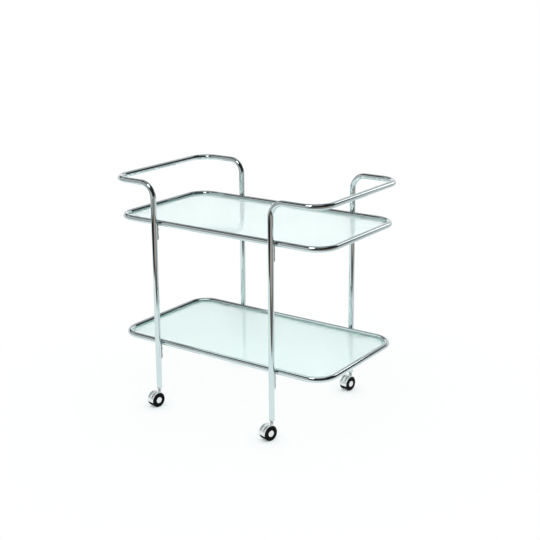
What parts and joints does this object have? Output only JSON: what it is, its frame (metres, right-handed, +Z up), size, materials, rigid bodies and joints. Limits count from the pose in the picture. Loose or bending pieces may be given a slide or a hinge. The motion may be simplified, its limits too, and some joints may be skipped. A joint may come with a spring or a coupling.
{
  "type": "serving trolley",
  "caption": "Tiered chrome tube serving trolley with frosted glass shelves in ring rails, bent handles at both ends and hooded swivel casters.",
  "frame": {"origin": "on the floor, at the middle of the rectangle of the four leg axes", "axes": "+Z up, +X along the trolley from one handle to the other, -Y the long side seen in front"},
  "size_m": [0.888, 0.5704, 0.82],
  "materials": {
    "chrome_tube": "bright polished chrome plate on bent steel tube",
    "frosted_glass": "frosted pale green glass with a smooth top",
    "bracket_steel": "plated pressed steel",
    "screw_steel": "plated steel fasteners",
    "clear_pad": "clear soft plastic discs",
    "foot_chrome": "chrome plate, rounded end",
    "stem_steel": "bright turned steel",
    "hood_chrome": "chrome plated die casting",
    "wheel_black": "black moulded plastic",
    "tyre_rubber": "black rubber tread",
    "cap_silver": "silver pressed cap"
  },
  "bodies": {
    "frame": {"left_end_frame": "chrome_tube", "right_end_frame": "chrome_tube", "upper_tray_ring": "chrome_tube", "lower_tray_ring": "chrome_tube", "upper_glass_tabs": "bracket_steel", "lower_glass_tabs": "bracket_steel", "upper_glass_pads": "clear_pad", "lower_glass_pads": "clear_pad", "upper_leg_brackets": "bracket_steel", "lower_leg_brackets": "bracket_steel", "upper_bracket_screws": "screw_steel", "lower_bracket_screws": "screw_steel", "upper_rivet_nuts": "screw_steel", "lower_rivet_nuts": "screw_steel", "stem_grip_rings": "screw_steel", "front_left_leg_foot": "foot_chrome", "front_left_caster_stem": "stem_steel", "front_right_leg_foot": "foot_chrome", "front_right_caster_stem": "stem_steel", "rear_left_leg_foot": "foot_chrome", "rear_left_caster_stem": "stem_steel", "rear_right_leg_foot": "foot_chrome", "rear_right_caster_stem": "stem_steel"},
    "upper_shelf": {"upper_glass_shelf": "frosted_glass"},
    "lower_shelf": {"lower_glass_shelf": "frosted_glass"},
    "front_left_caster": {"front_left_caster_housing": "hood_chrome", "front_left_caster_axle": "stem_steel"},
    "front_left_right_wheel": {"front_left_caster_right_wheel": "wheel_black", "front_left_caster_right_tyre": "tyre_rubber", "front_left_caster_right_hub_cap": "cap_silver"},
    "front_left_left_wheel": {"front_left_caster_left_wheel": "wheel_black", "front_left_caster_left_tyre": "tyre_rubber", "front_left_caster_left_hub_cap": "cap_silver"},
    "front_right_caster": {"front_right_caster_housing": "hood_chrome", "front_right_caster_axle": "stem_steel"},
    "front_right_right_wheel": {"front_right_caster_right_wheel": "wheel_black", "front_right_caster_right_tyre": "tyre_rubber", "front_right_caster_right_hub_cap": "cap_silver"},
    "front_right_left_wheel": {"front_right_caster_left_wheel": "wheel_black", "front_right_caster_left_tyre": "tyre_rubber", "front_right_caster_left_hub_cap": "cap_silver"},
    "rear_left_caster": {"rear_left_caster_housing": "hood_chrome", "rear_left_caster_axle": "stem_steel"},
    "rear_left_right_wheel": {"rear_left_caster_right_wheel": "wheel_black", "rear_left_caster_right_tyre": "tyre_rubber", "rear_left_caster_right_hub_cap": "cap_silver"},
    "rear_left_left_wheel": {"rear_left_caster_left_wheel": "wheel_black", "rear_left_caster_left_tyre": "tyre_rubber", "rear_left_caster_left_hub_cap": "cap_silver"},
    "rear_right_caster": {"rear_right_caster_housing": "hood_chrome", "rear_right_caster_axle": "stem_steel"},
    "rear_right_right_wheel": {"rear_right_caster_right_wheel": "wheel_black", "rear_right_caster_right_tyre": "tyre_rubber", "rear_right_caster_right_hub_cap": "cap_silver"},
    "rear_right_left_wheel": {"rear_right_caster_left_wheel": "wheel_black", "rear_right_caster_left_tyre": "tyre_rubber", "rear_right_caster_left_hub_cap": "cap_silver"}
  },
  "joints": [
    {"name": "upper_shelf_lift", "type": "slide", "parent": "frame", "child": "upper_shelf", "axis": [0, 0, 1], "range_m": [0, 0.1]},
    {"name": "lower_shelf_lift", "type": "slide", "parent": "frame", "child": "lower_shelf", "axis": [0, 0, 1], "range_m": [0, 0.1]},
    {"name": "front_left_swivel", "type": "hinge", "parent": "frame", "child": "front_left_caster", "pos_m": [-0.245, -0.2553, 0.0548], "axis": [0, 0, 1], "continuous": true},
    {"name": "front_left_right_spin", "type": "hinge", "parent": "front_left_caster", "child": "front_left_right_wheel", "pos_m": [-0.24833, -0.27095, 0.026], "axis": [0.9781, -0.2079, 0], "continuous": true},
    {"name": "front_left_left_spin", "type": "hinge", "parent": "front_left_caster", "child": "front_left_left_wheel", "pos_m": [-0.24833, -0.27095, 0.026], "axis": [0.9781, -0.2079, 0], "continuous": true},
    {"name": "front_right_swivel", "type": "hinge", "parent": "frame", "child": "front_right_caster", "pos_m": [0.245, -0.2553, 0.0548], "axis": [0, 0, 1], "continuous": true},
    {"name": "front_right_right_spin", "type": "hinge", "parent": "front_right_caster", "child": "front_right_right_wheel", "pos_m": [0.24032, -0.2706, 0.026], "axis": [0.9563, -0.2924, 0], "continuous": true},
    {"name": "front_right_left_spin", "type": "hinge", "parent": "front_right_caster", "child": "front_right_left_wheel", "pos_m": [0.24032, -0.2706, 0.026], "axis": [0.9563, -0.2924, 0], "continuous": true},
    {"name": "rear_left_swivel", "type": "hinge", "parent": "frame", "child": "rear_left_caster", "pos_m": [-0.245, 0.2553, 0.0548], "axis": [0, 0, 1], "continuous": true},
    {"name": "rear_left_right_spin", "type": "hinge", "parent": "rear_left_caster", "child": "rear_left_right_wheel", "pos_m": [-0.24778, 0.23954, 0.026], "axis": [0.9848, -0.1736, 0], "continuous": true},
    {"name": "rear_left_left_spin", "type": "hinge", "parent": "rear_left_caster", "child": "rear_left_left_wheel", "pos_m": [-0.24778, 0.23954, 0.026], "axis": [0.9848, -0.1736, 0], "continuous": true},
    {"name": "rear_right_swivel", "type": "hinge", "parent": "frame", "child": "rear_right_caster", "pos_m": [0.245, 0.2553, 0.0548], "axis": [0, 0, 1], "continuous": true},
    {"name": "rear_right_right_spin", "type": "hinge", "parent": "rear_right_caster", "child": "rear_right_right_wheel", "pos_m": [0.2425, 0.2395, 0.026], "axis": [0.9877, -0.1564, 0], "continuous": true},
    {"name": "rear_right_left_spin", "type": "hinge", "parent": "rear_right_caster", "child": "rear_right_left_wheel", "pos_m": [0.2425, 0.2395, 0.026], "axis": [0.9877, -0.1564, 0], "continuous": true}
  ]
}
